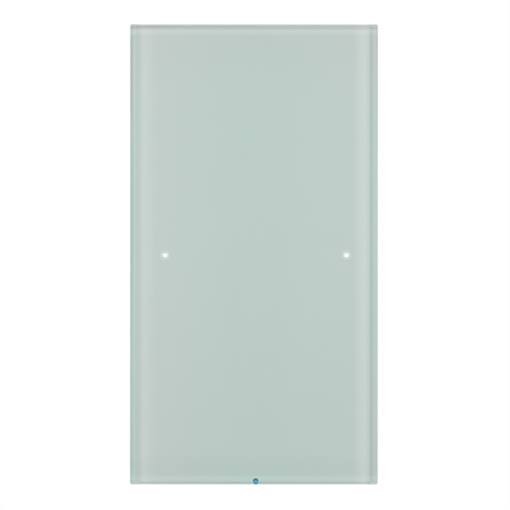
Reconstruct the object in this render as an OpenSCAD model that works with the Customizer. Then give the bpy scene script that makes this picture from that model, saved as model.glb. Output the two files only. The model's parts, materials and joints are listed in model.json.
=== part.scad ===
// Touch light switch: a back-coated glass touch panel that pulls off an insert in the wall box.
// Every piece is drawn lying on its back, as on a bench: x to the right, y up the wall and z out
// of the wall, with z = 0 on the wall. on_wall() stands it up, so that the front faces -Y.

/* [Glass plate] */
// Width of the glass plate
glass_w = 82.8; // [80:0.1:90]
// Height of the glass plate
glass_h = 153.8; // [150:0.1:170]
// Thickness of the glass plate
glass_t = 6; // [4:0.1:8]
// Width of the facet ground along each long side
facet_w = 3.3; // [1:0.1:5]
// Drop of that facet at the outer edge
facet_drop = 0.9; // [0.3:0.1:2]
// Chamfer along the other edges of the glass
arris = 0.5; // [0.2:0.1:1]
// Cut across each corner of the glass
corner_cut = 0.3; // [0.2:0.1:2]

/* [Film and tape] */
// Thickness of the clear bond between the glass and the film
bond_t = 0.05; // [0.02:0.01:0.2]
// Thickness of the colour film on the back of the glass
film_t = 0.2; // [0.1:0.05:0.5]
// Bare margin between the film and the glass edge
film_margin = 0.4; // [0.2:0.1:1]
// Thickness of the bonding tape
tape_t = 0.5; // [0.3:0.1:1]
// Width of the bonding tape
tape_w = 2.4; // [1:0.1:2.6]
// Distance of the tape from the edge of the carrier
tape_margin = 0.4; // [0.2:0.1:0.6]

/* [Light points] */
// Diameter of each white light point
dot_d = 1.9; // [1:0.1:3]
// Distance of the white light points from the long edges of the glass
dot_edge = 11; // [9:0.1:24]
// Drop of the white light points below the middle of the glass
dot_drop = 0.3; // [-2:0.1:2]
// Diameter of the blue light point
led_d = 1.9; // [1.4:0.1:2.6]
// Height of the blue light point above the lower edge of the glass
led_rise = 0.95; // [0.8:0.05:1.6]
// Sideways offset of the three light points from the centre line
lights_x = 0.6; // [-1:0.1:1]

/* [Panel carrier] */
// Inset of the carrier behind the edge of the glass
carrier_inset = 0.6; // [0.3:0.1:1.2]
// Corner radius of the carrier
carrier_r = 1; // [0.5:0.1:2.5]
// Width of the rim that the glass is bonded to
rim_w = 3.2; // [3:0.1:4.5]
// Thickness of the web
web_t = 1.4; // [1:0.1:2]
// Height of the web above the wall
web_stand = 3.6; // [3.5:0.1:6]
// Step from the rim in to the skirt
skirt_step = 2; // [1:0.1:3]
// Thickness of the skirt
skirt_wall = 1.6; // [1.2:0.1:2]
// Gap between the skirt and the wall
wall_gap = 0.8; // [0.4:0.1:1.5]
// Width of the notch for prising the panel off
pry_w = 10; // [6:0.5:16]

/* [Touch board] */
// Thickness of the touch board
board_t = 1.2; // [0.8:0.1:1.6]
// Room for components between the web and the touch board
board_room = 1.7; // [1.6:0.1:3]
// Gap between the touch board and the rim
board_gap = 0.4; // [0.2:0.1:1]
// Thickness of the sensing electrodes
electrode_t = 0.1; // [0.05:0.05:0.2]
// Gap between the left and the right electrode
electrode_gap = 6; // [3:0.5:12]

/* [Retaining springs] */
// Length of each bowed leaf spring
spring_len = 16; // [12:0.5:24]
// Thickness of the leaf
spring_t = 0.3; // [0.2:0.05:0.5]
// Room between the skirt and the wall frame for the springs
spring_room = 1.8; // [1.4:0.1:2.5]
// Height of the springs above and below the centre
spring_y = 45; // [40:0.5:50]

/* [Support frame] */
// Thickness of the steel sheet
sheet_t = 1; // [0.8:0.1:1.2]
// Corner radius of the frame
frame_r = 4; // [1:0.5:8]
// Gap between the short sides of the frame and the skirt
frame_end_gap = 1.7; // [0.6:0.1:4]
// Height of the bent side flanges above the wall
flange_h = 3.2; // [2.5:0.1:3.2]
// Length of each bent side flange
flange_len = 40; // [26:1:44]
// Inside radius of the bends
bend_r = 0.6; // [0.4:0.1:0.8]
// Rise of the pressed middle, which seats the insert
dish_rise = 0.6; // [0.4:0.1:0.8]
// Length of the stiffening beads pressed beside the flanges
bead_len = 38; // [20:1:40]
// Distance between opposite wall-box screws
box_pitch = 60; // [58:0.5:61]
// Length of the wall-box screw slots
slot_len = 7; // [5.5:0.1:7.5]
// Width of the wall-box screw slots
slot_w = 4.2; // [3.4:0.1:4.6]
// Distance of the wall-plug screws from the short sides of the frame
plug_edge = 9; // [6:0.5:12]
// Diameter of the wall-plug holes
plug_d = 4.6; // [4:0.1:5.5]

/* [Insert] */
// Width and height of the insert housing
insert_w = 47; // [46:0.5:48]
// Cut across the corners of the housing
insert_cut = 8; // [7:0.5:9]
// Depth of the housing behind the wall
insert_depth = 24; // [22:0.5:32]
// Wall of the housing
insert_wall = 1.6; // [1.2:0.1:1.8]
// Depth of the shallow lower part, which carries the terminals
step_depth = 11.5; // [10.5:0.5:13]
// Height of the cover above the wall frame
cover_proud = 0.4; // [0.2:0.1:0.6]
// Overlap of the wall frame over the edge of the cover
cover_lip = 1.4; // [0.8:0.1:2]

/* [Programming button] */
// Diameter of the button
button_d = 4; // [3:0.1:5]
// Height of the button above the cover
button_rise = 0.6; // [0.3:0.1:0.7]
// Travel of the button
button_travel = 0.5; // [0.3:0.1:0.8]

/* [Plug and terminals] */
// Pitch of the plug's pins
pin_pitch = 2.54; // [2:0.01:2.54]
// Width of the square pins
pin_w = 0.64; // [0.5:0.02:0.7]
// Pitch of the terminals
pole_pitch = 7.6; // [7.2:0.1:7.8]
// Width of the square wire entries
entry_w = 3.6; // [2.8:0.1:3.8]

/* [Hidden] */
$fn = 48;

// Overcut of every through cut
cut = 1;
// Gap between two pieces of one unit that fit into each other
fit_gap = 0.25;
// Gap between two pieces that move past each other
run_gap = 0.3;
// Gap of a light guide in its window
light_gap = 0.05;

// Heights above the wall of the panel's layers, from the back to the front
web_rear = web_stand;
web_front = web_rear + web_t;
board_rear = web_front + board_room;
board_front = board_rear + board_t;
film_rear = board_front + electrode_t;
film_front = film_rear + film_t;
glass_rear = film_front + bond_t;
rim_front = film_rear - tape_t;

// Outlines of the panel's layers
carrier_w = glass_w - 2 * carrier_inset;
carrier_h = glass_h - 2 * carrier_inset;
cavity_w = carrier_w - 2 * rim_w;
cavity_h = carrier_h - 2 * rim_w;
board_w = cavity_w - 2 * board_gap;
board_h = cavity_h - 2 * board_gap;
board_r = 2;
skirt_w = carrier_w - 2 * skirt_step;
skirt_h = carrier_h - 2 * skirt_step;
skirt_in_w = skirt_w - 2 * skirt_wall;
skirt_in_h = skirt_h - 2 * skirt_wall;
led_y = led_rise - glass_h / 2;
dot_pitch = glass_w - 2 * dot_edge;

// Posts that carry the touch board, and the pins on them that locate it
post_d = 5;
post_pin_d = 1.8;
post_edge = [5, 6];
post_at = [board_w, board_h] / 2 - post_edge;
// Locating pins on the back of the web, and their distance from the centre
locator_d = 3;
locator_y = 44;
locator_end = 0.3;
// Ribs on the back of the web
rib_h = 0.8;
rib_t = 1.2;
rib_x = 13;
rib_y = [34, 64];
// Ribs that hold the ends of the springs
stop_t = 1.2;
stop_reach = 1;
stop_y = spring_len / 2 + fit_gap + stop_t / 2;
pry_h = 1.4;
// Collar round the plug's window
plug_collar_wall = 1;
plug_collar_h = 0.8;

// LEDs and chips on the touch board
led_case = [3.2, 1.6, 1];
side_led = [2.4, 1.5, 1.1];
pipe_arm_inset = 0.25;
pipe_arm_w = led_d - 2 * pipe_arm_inset;
pipe_arm_t = 1;
pipe_arm_drop = 0.2;
pipe_arm_rear = board_rear - pipe_arm_t - pipe_arm_drop;
side_led_y = side_led[1] - board_h / 2;
// Bare ring round each light point in the electrodes, and bare strip above and below them
electrode_clear = 2;
electrode_end = 11;
chip_side = 9;
chip_t = 1.1;
chip_at = [0, 24];
chip_leads = 8;
lead_pitch = 0.8;
lead = [0.36, 1, 0.3];
passive_size = [1.6, 0.8, 0.6];
passive_rows = 2;
passive_columns = 6;
passive_pitch = [3.4, 3];
passive_at = [0, 36];

// Wall frame
frame_w = skirt_in_w - 2 * spring_room;
frame_h = skirt_in_h - 2 * frame_end_gap;
bend_out = bend_r + sheet_t;
plug_pitch = frame_h - 2 * plug_edge;
dish_clear = 1;
ear_gap = 2;
ear_h = 2 * (spring_y - flange_len / 2 - ear_gap);
ear_r = 2;
bead_edge = 4.3;
bead_x = frame_w / 2 - bend_out - bead_edge;
bead_rise = 0.5;
bead_w = 3;
bead_wall = 0.7;
level_notch_r = 1.5;
window_size = [11, 22];
window_r = 3;
window_at = [19.5, 47];

// Springs: an arc from the skirt to just short of the flange
spring_grip_gap = 0.15;
spring_sag = spring_room - spring_grip_gap;
spring_radius = (pow(spring_len / 2, 2) + pow(spring_sag, 2)) / (2 * spring_sag);
spring_low = wall_gap + run_gap;

// Insert: heights above the wall, negative inside the wall box
rim_z = dish_rise;
sheet_top = dish_rise + sheet_t;
cover_front = sheet_top + cover_proud;
cover_flange_t = 1.2;
cover_flange_w = 3;
collar_w = 0.7;
collar_d = button_d + 2 * collar_w;
collar_t = 0.6;
collar_front = rim_z - run_gap;
collar_rear = collar_front - collar_t;
switch_side = 6;
switch_h = 1.5;
switch_slack = 0.1;
switch_top = collar_rear - button_travel - switch_slack;
control_front = switch_top - switch_h;
control_t = 1.6;
control_rear = control_front - control_t;
step_z = -step_depth;
step_y = -11;
ledge_w = 8;
ledge_reach = 1.4;
vent_count = 5;
vent_w = 1.4;
vent_len = 14;
vent_pitch = 3.4;
vent_y = 9;
guide_x = 12;
guide_w = 1.2;
guide_h = 0.6;

// Screws of the insert, in bosses in the cut corners
boss_r = 2.9;
boss_set = 1.7;
screw_at = ((insert_w - insert_cut) / sqrt(2) - insert_wall - boss_set) / sqrt(2);
screw_d = 2.1;
screw_bore = 2.3;
screw_hole = 2.8;
screw_len = 8;
screw_head_d = 4.2;
screw_head_h = 1.1;
recess_w = 0.6;
recess_len = 2.4;
recess_deep = 0.6;
screw_head_r = 0.5;
// Half-perimeter at which plates inside the housing pass the bosses
inner_w = insert_w - 2 * insert_wall - 2 * fit_gap;
inner_sum = 2 * screw_at - (boss_r + fit_gap) * sqrt(2);
open_w = inner_w - 2 * cover_lip;
open_sum = inner_sum - cover_lip * sqrt(2);

// Plug: two rows of pins that reach from the touch board into the socket
pin_columns = 5;
pin_rows = 2;
plug_at = [0, -10];
plug_margin = [0.6, 0.4];
plug_size = [pin_columns, pin_rows] * pin_pitch + plug_margin;
header_t = 2.5;
socket_wall = 0.4;
socket_top = cover_front + socket_wall;
socket_floor = control_front + socket_wall;
pin_end = socket_floor + socket_wall;
pin_run_gap = 0.25;

// Places on the insert's cover
button_at = [-9, 9];
status_at = [1, 9];
status_d = 2.9;
status_rise = 0.2;
cup_d = 8.4;
cup_deep = 0.3;
button_r = 0.5;

// Pieces on the insert's board
part_gap = 0.4;
mcu_side = 7;
mcu_t = 1.2;
mcu_edge = 10.6;
mcu_at = [inner_w / 2 - mcu_edge, 3];
mcu_leads = 6;
case_cut = 0.8;
bay = insert_w / 2 - insert_wall - ledge_reach - part_gap;
bay_low = step_y + insert_wall + part_gap;
relay_size = [18, 15.5, 12.5];
relay_at = [relay_size[0] / 2 - bay, bay_low + relay_size[1] / 2];
transformer_size = [15, 14.5, 12];
transformer_at = [bay - transformer_size[0] / 2, bay_low + transformer_size[1] / 2];
core_h = 5;
bobbin_inset = 1.6;
can_d = 7;
can_h = 11;
can_inset = 7.3;
can_at = [screw_at - can_inset, bay_low + relay_size[1] + part_gap + can_d / 2];
can_groove = 0.4;
film_cap_size = [7.5, 5, 10];
film_cap_at = [0, bay - film_cap_size[1] / 2];

// Terminal block on the step of the housing
pole_count = 4;
block_wall = 1.2;
block_inset = 1;
block_end = 0.8;
block_w = pole_count * pole_pitch + 2 * block_end;
block_low = block_inset - insert_w / 2;
groove_w = 0.8;
groove_deep = 0.6;
entry_len = 4;
entry_flare = 0.5;
cage_side = 5.6;
cage_wall = 0.9;
cage_room = 0.4;
cage_setback = 0.9;
cage_y = step_y - block_wall - (cage_side + cage_room) / 2;
cage_rear = entry_len - insert_depth;
cage_front = step_z - cage_setback;
clamp_bite = 0.6;
clamp_screw_d = 2.6;
clamp_hole_d = 3;
clamp_head_d = 4;
clamp_head_h = 1.8;
clamp_head_sink = 0.2;
clamp_bore_d = 4.4;
clamp_screw_tip = cage_y - cage_side / 2 + cage_wall + clamp_bite;
clamp_z = (cage_rear + cage_front) / 2;
slot_cut = 0.7;
solder_pin = 0.8;
solder_y = cage_y + (cage_side - cage_wall) / 2;

module on_wall() rotate([90, 0, 0]) children();

module layer(from, to) translate([0, 0, from]) linear_extrude(to - from) children();

module rounded_rect(w, h, r) {
    square([w - 2 * r, h], center = true);
    square([w, h - 2 * r], center = true);
    for (x = [-1, 1], y = [-1, 1])
        translate([x * (w / 2 - r), y * (h / 2 - r)]) circle(r);
}

module cut_rect(w, h, c) polygon([
    [w / 2, c - h / 2], [w / 2, h / 2 - c], [w / 2 - c, h / 2], [c - w / 2, h / 2],
    [-w / 2, h / 2 - c], [-w / 2, c - h / 2], [c - w / 2, -h / 2], [w / 2 - c, -h / 2]
]);

module slot(length, width) {
    square([length - width, width], center = true);
    for (s = [-1, 1]) translate([s * (length - width) / 2, 0]) circle(width / 2);
}

module four(at) for (x = [-1, 1], y = [-1, 1]) translate([x * at[0], y * at[1]]) children();

// A straight strip of width w from one point to another
module strip(from, to, w) translate(from) rotate(atan2(to[1] - from[1], to[0] - from[0]))
    translate([0, -w / 2]) square([norm(to - from), w]);

module dots() for (s = [-1, 1]) translate([lights_x + s * dot_pitch / 2, -dot_drop]) children();

// A block that stands on the layer at height z and grows away from the front
module hang(size, at, z) translate([at[0] - size[0] / 2, at[1] - size[1] / 2, z - size[2]]) cube(size);

// A block that stands on the layer at height z and grows towards the front
module stand(size, at, z) translate([at[0] - size[0] / 2, at[1] - size[1] / 2, z]) cube(size);

module pins() for (i = [0:pin_columns - 1], j = [0:pin_rows - 1])
    translate(plug_at + [(i - (pin_columns - 1) / 2) * pin_pitch, (j - (pin_rows - 1) / 2) * pin_pitch])
        children();

module poles() for (i = [0:pole_count - 1])
    translate([(i - (pole_count - 1) / 2) * pole_pitch, 0]) children();

module insert_outline(grow)
    cut_rect(insert_w + 2 * grow, insert_w + 2 * grow, insert_cut + grow * (2 - sqrt(2)));

// A round stud from the height from to the height to, with its upper edge rounded
module domed_stud(from, to, d, r) translate([0, 0, from]) rotate_extrude() {
    square([d / 2 - r, to - from]);
    square([d / 2, to - from - r]);
    intersection() {
        translate([d / 2 - r, to - from - r]) circle(r);
        square([d / 2, to - from]);
    }
}

// A case that hangs from the board at height z, with its corners cut
module hang_case(size, at, z) translate(at) layer(z - size[2], z) cut_rect(size[0], size[1], case_cut);

// Glass plate

module glass_section() polygon([
    [arris - glass_w / 2, 0], [glass_w / 2 - arris, 0], [glass_w / 2, arris],
    [glass_w / 2, glass_t - facet_drop], [glass_w / 2 - facet_w, glass_t],
    [facet_w - glass_w / 2, glass_t], [-glass_w / 2, glass_t - facet_drop], [-glass_w / 2, arris]
]);

module glass_side() polygon([
    [arris - glass_h / 2, 0], [glass_h / 2 - arris, 0], [glass_h / 2, arris],
    [glass_h / 2, glass_t - arris], [glass_h / 2 - arris, glass_t],
    [arris - glass_h / 2, glass_t], [-glass_h / 2, glass_t - arris], [-glass_h / 2, arris]
]);

module glass_panel() color([0.72, 0.83, 0.79, 0.5]) on_wall() translate([0, 0, glass_rear])
intersection() {
    translate([0, glass_h / 2, 0]) rotate([90, 0, 0]) linear_extrude(glass_h) glass_section();
    translate([-glass_w / 2, 0, 0]) rotate([90, 0, 90]) linear_extrude(glass_w) glass_side();
    linear_extrude(glass_t) cut_rect(glass_w, glass_h, corner_cut);
}

// Film, tape and carrier

module colour_film() color([0.74, 0.81, 0.78]) on_wall() layer(film_rear, film_front) difference() {
    square([glass_w - 2 * film_margin, glass_h - 2 * film_margin], center = true);
    dots() circle(d = dot_d);
    translate([lights_x, led_y]) circle(d = led_d);
}

module bonding_tape() color([0.93, 0.93, 0.9]) on_wall() layer(rim_front, film_rear) difference() {
    square([carrier_w - 2 * tape_margin, carrier_h - 2 * tape_margin], center = true);
    square([carrier_w - 2 * (tape_margin + tape_w), carrier_h - 2 * (tape_margin + tape_w)], center = true);
    translate([lights_x, led_y]) circle(d = led_d + 2 * fit_gap);
}

module carrier_web() {
    layer(web_rear, web_front) rounded_rect(carrier_w, carrier_h, carrier_r);
    layer(web_rear - rib_h, web_rear) for (s = [-1, 1]) {
        for (x = [-1, 1]) translate([x * rib_x, s * (rib_y[0] + rib_y[1]) / 2])
            square([rib_t, rib_y[1] - rib_y[0]], center = true);
        for (y = rib_y) {
            translate([0, s * y]) square([2 * rib_x + rib_t, rib_t], center = true);
            for (x = [-1, 1]) strip([0, s * locator_y], [x * rib_x, s * y], rib_t);
        }
    }
}

module carrier_posts() four(post_at) {
    layer(web_front, board_rear) circle(d = post_d);
    layer(web_front, board_front - light_gap) circle(d = post_pin_d);
}

module spring_stops() for (x = [-1, 1], y = [-1, 1], end = [-1, 1])
    translate([x * (skirt_in_w - stop_reach) / 2, y * spring_y + end * stop_y])
        layer(spring_low, web_rear) square([stop_reach, stop_t], center = true);

module panel_carrier() color([0.9, 0.91, 0.9]) on_wall() difference() {
    union() {
        carrier_web();
        layer(web_front, rim_front) difference() {
            rounded_rect(carrier_w, carrier_h, carrier_r);
            square([cavity_w, cavity_h], center = true);
        }
        layer(wall_gap, web_rear) difference() {
            rounded_rect(skirt_w, skirt_h, carrier_r);
            square([skirt_in_w, skirt_in_h], center = true);
        }
        carrier_posts();
        spring_stops();
        layer(locator_end, web_rear) for (s = [-1, 1]) translate([0, s * locator_y]) circle(d = locator_d);
        layer(web_rear - plug_collar_h, web_rear) translate(plug_at)
            square(plug_size + 2 * (fit_gap + plug_collar_wall) * [1, 1], center = true);
    }
    translate(plug_at) layer(web_rear - plug_collar_h - cut, web_front + cut)
        square(plug_size + 2 * fit_gap * [1, 1], center = true);
    layer(pipe_arm_rear - fit_gap, rim_front + cut) translate([lights_x, led_y]) {
        circle(d = led_d + 2 * fit_gap);
        translate([0, rim_w / 2 + cut]) square([pipe_arm_w + 2 * fit_gap, rim_w + 2 * cut], center = true);
    }
    layer(wall_gap - cut, wall_gap + pry_h) translate([0, -(skirt_h + skirt_in_h) / 4])
        square([pry_w, skirt_wall + cut], center = true);
}

// Touch board and the pieces on it

module touch_board() color([0.1, 0.36, 0.22]) on_wall() layer(board_rear, board_front) difference() {
    rounded_rect(board_w, board_h, board_r);
    dots() circle(d = dot_d + 2 * fit_gap);
    four(post_at) circle(d = post_pin_d + 2 * fit_gap);
}

module touch_electrodes() color([0.8, 0.52, 0.3]) on_wall() layer(board_front, film_rear) difference() {
    square([board_w - 2 * board_r, board_h - 2 * electrode_end], center = true);
    square([electrode_gap, board_h], center = true);
    dots() circle(d = dot_d + 2 * electrode_clear);
}

module indicator_lenses() color([1, 1, 1, 0.9]) on_wall()
    dots() layer(board_rear, film_front) circle(d = dot_d - 2 * light_gap);

module indicator_leds() color([0.95, 0.93, 0.8]) on_wall() dots() hang(led_case, [0, 0], board_rear);

module operating_light_pipe() color([0.35, 0.7, 0.9, 0.9]) on_wall() translate([lights_x, led_y]) {
    layer(pipe_arm_rear, film_front) circle(d = led_d - 2 * light_gap);
    layer(pipe_arm_rear, pipe_arm_rear + pipe_arm_t) translate([-pipe_arm_w / 2, 0])
        square([pipe_arm_w, side_led_y - side_led[1] / 2 - led_y]);
}

module operating_led() color([0.2, 0.5, 0.95]) on_wall() hang(side_led, [lights_x, side_led_y], board_rear);

module chip(side, height, leads) {
    layer(lead[2], height) cut_rect(side, side, lead[1] / 2);
    for (turn = [0:90:270], i = [0:leads - 1]) rotate(turn)
        translate([side / 2 - lead[1] / 2, (i - (leads - 1) / 2) * lead_pitch - lead[0] / 2, 0])
            cube([lead[1] + lead[1] / 2, lead[0], lead[2]]);
}

module touch_controller() color([0.13, 0.13, 0.14]) on_wall()
    translate([chip_at[0], chip_at[1], board_rear]) mirror([0, 0, 1]) chip(chip_side, chip_t, chip_leads);

module board_passives() color([0.7, 0.6, 0.45]) on_wall()
    for (i = [0:passive_columns - 1], j = [0:passive_rows - 1])
        hang(passive_size, passive_at
            + [(i - (passive_columns - 1) / 2) * passive_pitch[0], j * passive_pitch[1]], board_rear);

module pin_header() color([0.12, 0.12, 0.13]) on_wall()
layer(board_rear - header_t, board_rear) difference() {
    translate(plug_at) square(plug_size, center = true);
    pins() square(pin_w, center = true);
}

module header_pins() color([0.85, 0.7, 0.35]) on_wall()
    layer(pin_end, board_rear) pins() square(pin_w, center = true);

// Springs and wall frame

module retaining_springs() color([0.78, 0.79, 0.8]) on_wall() for (turn = [0, 180], y = [-1, 1])
    translate([0, y * spring_y]) rotate(turn) layer(spring_low, web_rear) intersection() {
        translate([skirt_in_w / 2 - spring_sag + spring_radius, 0]) difference() {
            circle(spring_radius, $fn = 96);
            circle(spring_radius - spring_t, $fn = 96);
        }
        translate([0, -spring_len / 2]) square([skirt_in_w / 2, spring_len]);
    }

module bent_flange() translate([0, flange_len / 2, 0]) rotate([90, 0, 0]) linear_extrude(flange_len) {
    translate([frame_w / 2 - bend_out, bend_out]) intersection() {
        difference() {
            circle(bend_out);
            circle(bend_r);
        }
        translate([0, -bend_out]) square(bend_out);
    }
    translate([frame_w / 2 - sheet_t, bend_out]) square([sheet_t, flange_h - bend_out]);
}

module beads(length, width) for (x = [-1, 1], y = [-1, 1])
    translate([x * bead_x, y * spring_y]) rotate(90) slot(length, width);

module frame_holes() {
    cut_rect(open_w, open_w, open_w - open_sum);
    for (turn = [0:90:270]) rotate(turn) translate([box_pitch / 2, 0]) slot(slot_len, slot_w);
    for (s = [-1, 1]) translate([0, s * plug_pitch / 2]) circle(d = plug_d);
    for (s = [-1, 1]) translate([0, s * locator_y]) circle(d = locator_d + 2 * run_gap);
    four([screw_at, screw_at]) circle(d = screw_hole);
    four(window_at) rounded_rect(window_size[0], window_size[1], window_r);
    for (s = [-1, 1]) translate([0, s * frame_h / 2]) circle(level_notch_r);
}

module support_frame() color([0.75, 0.76, 0.77]) on_wall() {
    difference() {
        union() {
            layer(0, sheet_t) {
                rounded_rect(frame_w - 2 * bend_out, frame_h, frame_r);
                rounded_rect(frame_w, ear_h, ear_r);
            }
            layer(0, sheet_top) insert_outline(dish_clear + sheet_t);
            layer(0, sheet_t + bead_rise) beads(bead_len, bead_w);
        }
        layer(-cut, dish_rise) insert_outline(dish_clear);
        layer(-cut, bead_rise) beads(bead_len - 2 * bead_wall, bead_w - 2 * bead_wall);
        layer(-cut, sheet_top + cut) frame_holes();
    }
    for (turn = [0, 180], y = [-1, 1]) translate([0, y * spring_y, 0]) rotate(turn) bent_flange();
}

// Insert

module insert_screws() color([0.8, 0.78, 0.72]) on_wall() four([screw_at, screw_at]) difference() {
    union() {
        domed_stud(sheet_top, sheet_top + screw_head_h, screw_head_d, screw_head_r);
        layer(sheet_top - screw_len, sheet_top) circle(d = screw_d);
    }
    layer(sheet_top + screw_head_h - recess_deep, sheet_top + screw_head_h + cut) for (turn = [0, 90])
        rotate(turn) square([recess_len, recess_w], center = true);
}

module housing_cavity() {
    layer(step_z + insert_wall, rim_z + cut) insert_outline(-insert_wall);
    layer(insert_wall - insert_depth, rim_z + cut) intersection() {
        insert_outline(-insert_wall);
        translate([-insert_w, step_y + insert_wall]) square(2 * insert_w);
    }
}

module board_ledges() for (turn = [0:90:270]) rotate(turn)
    translate([insert_w / 2 - insert_wall - ledge_reach, -ledge_w / 2])
        layer(step_z + insert_wall, control_rear) square([ledge_reach + insert_wall / 2, ledge_w]);

module insert_housing() color([0.32, 0.33, 0.35]) on_wall() difference() {
    union() {
        difference() {
            layer(-insert_depth, rim_z) insert_outline(0);
            housing_cavity();
        }
        board_ledges();
        four([screw_at, screw_at]) layer(step_z, rim_z) circle(boss_r);
        for (turn = [0:90:270], s = [-1, 1]) rotate(turn) translate([insert_w / 2, s * guide_x])
            layer(step_z, rim_z) square([2 * guide_h, guide_w], center = true);
    }
    layer(-insert_depth - cut, step_z) translate([-insert_w, step_y - 2 * insert_w]) square(2 * insert_w);
    four([screw_at, screw_at]) layer(sheet_top - screw_len - cut, rim_z + cut) circle(d = screw_bore);
    layer(step_z - cut, step_z + insert_wall + cut) poles() translate([0, solder_y])
        square(solder_pin + 2 * fit_gap, center = true);
    layer(-insert_depth - cut, insert_wall - insert_depth + cut) for (i = [0:vent_count - 1])
        translate([0, vent_y + (i - (vent_count - 1) / 2) * vent_pitch]) slot(vent_len, vent_w);
}

module insert_cover() color([0.88, 0.89, 0.88]) on_wall() difference() {
    union() {
        layer(rim_z, cover_front)
            cut_rect(open_w - 2 * fit_gap, open_w - 2 * fit_gap, open_w - open_sum);
        layer(rim_z - cover_flange_t, rim_z) difference() {
            cut_rect(inner_w, inner_w, inner_w - inner_sum);
            square(inner_w - 2 * cover_flange_w, center = true);
        }
    }
    layer(rim_z - cover_flange_t - cut, cover_front + cut) {
        translate(plug_at) square(plug_size + 2 * (socket_wall + fit_gap) * [1, 1], center = true);
        translate(button_at) circle(d = button_d + 2 * run_gap);
        translate(status_at) circle(d = status_d + 2 * fit_gap);
    }
    layer(cover_front - cup_deep, cover_front + cut) translate(button_at) circle(d = cup_d);
}

module control_board() color([0.12, 0.33, 0.24]) on_wall()
    layer(control_rear, control_front) cut_rect(inner_w, inner_w, inner_w - inner_sum);

module socket_header() color([0.1, 0.1, 0.11]) on_wall() difference() {
    layer(control_front, socket_top) translate(plug_at)
        square(plug_size + 2 * socket_wall * [1, 1], center = true);
    layer(socket_floor, socket_top + cut) pins() square(pin_w + 2 * pin_run_gap, center = true);
}

module microcontroller() color([0.12, 0.12, 0.13]) on_wall()
    translate([mcu_at[0], mcu_at[1], control_front]) chip(mcu_side, mcu_t, mcu_leads);

module relay() color([0.16, 0.3, 0.5]) on_wall() hang_case(relay_size, relay_at, control_rear);

module supply_transformer() color([0.85, 0.75, 0.35]) on_wall() {
    hang(transformer_size - [2 * bobbin_inset, 2 * bobbin_inset, 0], transformer_at, control_rear);
    hang([transformer_size[0], transformer_size[1], core_h], transformer_at,
        control_rear - (transformer_size[2] - core_h) / 2);
}

module smoothing_capacitors() color([0.2, 0.2, 0.3]) on_wall() for (s = [-1, 1])
    translate([s * can_at[0], can_at[1], control_rear - can_h]) difference() {
        cylinder(d = can_d, h = can_h);
        translate([0, 0, can_h - 3 * can_groove]) rotate_extrude()
            translate([can_d / 2, 0]) circle(can_groove);
    }

module suppression_capacitor() color([0.8, 0.66, 0.2]) on_wall()
    hang_case(film_cap_size, film_cap_at, control_rear);

module programming_switch() color([0.2, 0.2, 0.21]) on_wall()
    stand([switch_side, switch_side, switch_h], button_at, control_front);

module programming_led() color([0.85, 0.2, 0.18, 0.9]) on_wall() translate(status_at) {
    layer(control_front, cover_front + status_rise - status_d / 2) circle(d = status_d);
    translate([0, 0, cover_front + status_rise - status_d / 2]) sphere(d = status_d);
}

module programming_button() color([0.75, 0.2, 0.18]) on_wall() translate(button_at) {
    domed_stud(collar_rear, cover_front + button_rise, button_d, button_r);
    layer(collar_rear, collar_front) circle(d = collar_d);
}

// Terminals

module terminal_block() color([0.9, 0.9, 0.88]) on_wall() difference() {
    layer(-insert_depth, step_z) translate([-block_w / 2, block_low]) square([block_w, step_y - block_low]);
    poles() {
        layer(cage_rear, step_z + cut) translate([0, cage_y]) square(cage_side + cage_room, center = true);
        layer(-insert_depth - cut, cage_rear + cut) translate([0, cage_y]) square(entry_w, center = true);
        layer(-insert_depth - cut, entry_flare - insert_depth) translate([0, cage_y])
            square(entry_w + 2 * entry_flare, center = true);
        translate([0, block_low - cut, clamp_z]) rotate([-90, 0, 0])
            cylinder(d = clamp_bore_d, h = cage_y - block_low + cut);
    }
    for (i = [1:pole_count - 1]) translate([(i - pole_count / 2) * pole_pitch, 0]) {
        layer(-insert_depth - cut, groove_deep - insert_depth)
            translate([0, step_y]) square([groove_w, 4 * insert_w], center = true);
        layer(-insert_depth - cut, step_z + cut) translate([0, block_low])
            square([groove_w, 2 * groove_deep], center = true);
    }
}

module terminal_clamps() color([0.82, 0.72, 0.45]) on_wall() poles() difference() {
    layer(cage_rear, cage_front) translate([0, cage_y]) square(cage_side, center = true);
    layer(cage_rear - cut, cage_front + cut) translate([0, cage_y])
        square(cage_side - 2 * cage_wall, center = true);
    translate([0, cage_y - cage_side, clamp_z]) rotate([-90, 0, 0]) cylinder(d = clamp_hole_d, h = cage_side);
}

module terminal_screws() color([0.78, 0.79, 0.8]) on_wall() poles()
    translate([0, block_low + clamp_head_sink, clamp_z]) difference() {
        rotate([-90, 0, 0]) {
            cylinder(d = clamp_head_d, h = clamp_head_h);
            cylinder(d = clamp_screw_d, h = clamp_screw_tip - block_low - clamp_head_sink);
        }
        cube([clamp_head_d + cut, clamp_head_h, slot_cut], center = true);
    }

module terminal_pins() color([0.8, 0.8, 0.78]) on_wall()
    layer(cage_front, control_rear) poles() translate([0, solder_y]) square(solder_pin, center = true);

glass_panel();
colour_film();
bonding_tape();
panel_carrier();
touch_board();
touch_electrodes();
indicator_lenses();
indicator_leds();
operating_light_pipe();
operating_led();
touch_controller();
board_passives();
pin_header();
header_pins();
retaining_springs();
support_frame();
insert_screws();
insert_housing();
insert_cover();
control_board();
socket_header();
microcontroller();
relay();
supply_transformer();
smoothing_capacitors();
suppression_capacitor();
programming_switch();
programming_led();
programming_button();
terminal_block();
terminal_clamps();
terminal_screws();
terminal_pins();
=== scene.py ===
"""Looks of a touch light switch: a back-coated glass panel, its carrier, a steel wall frame and an insert.

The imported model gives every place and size, in metres: +X to the right, +Y into the wall and +Z up.
Screws and the button are turned on a bench frame, x to the right, y up the wall and z out of the wall,
and stand_up() turns them into the model's frame.
"""

from __future__ import annotations

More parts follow.
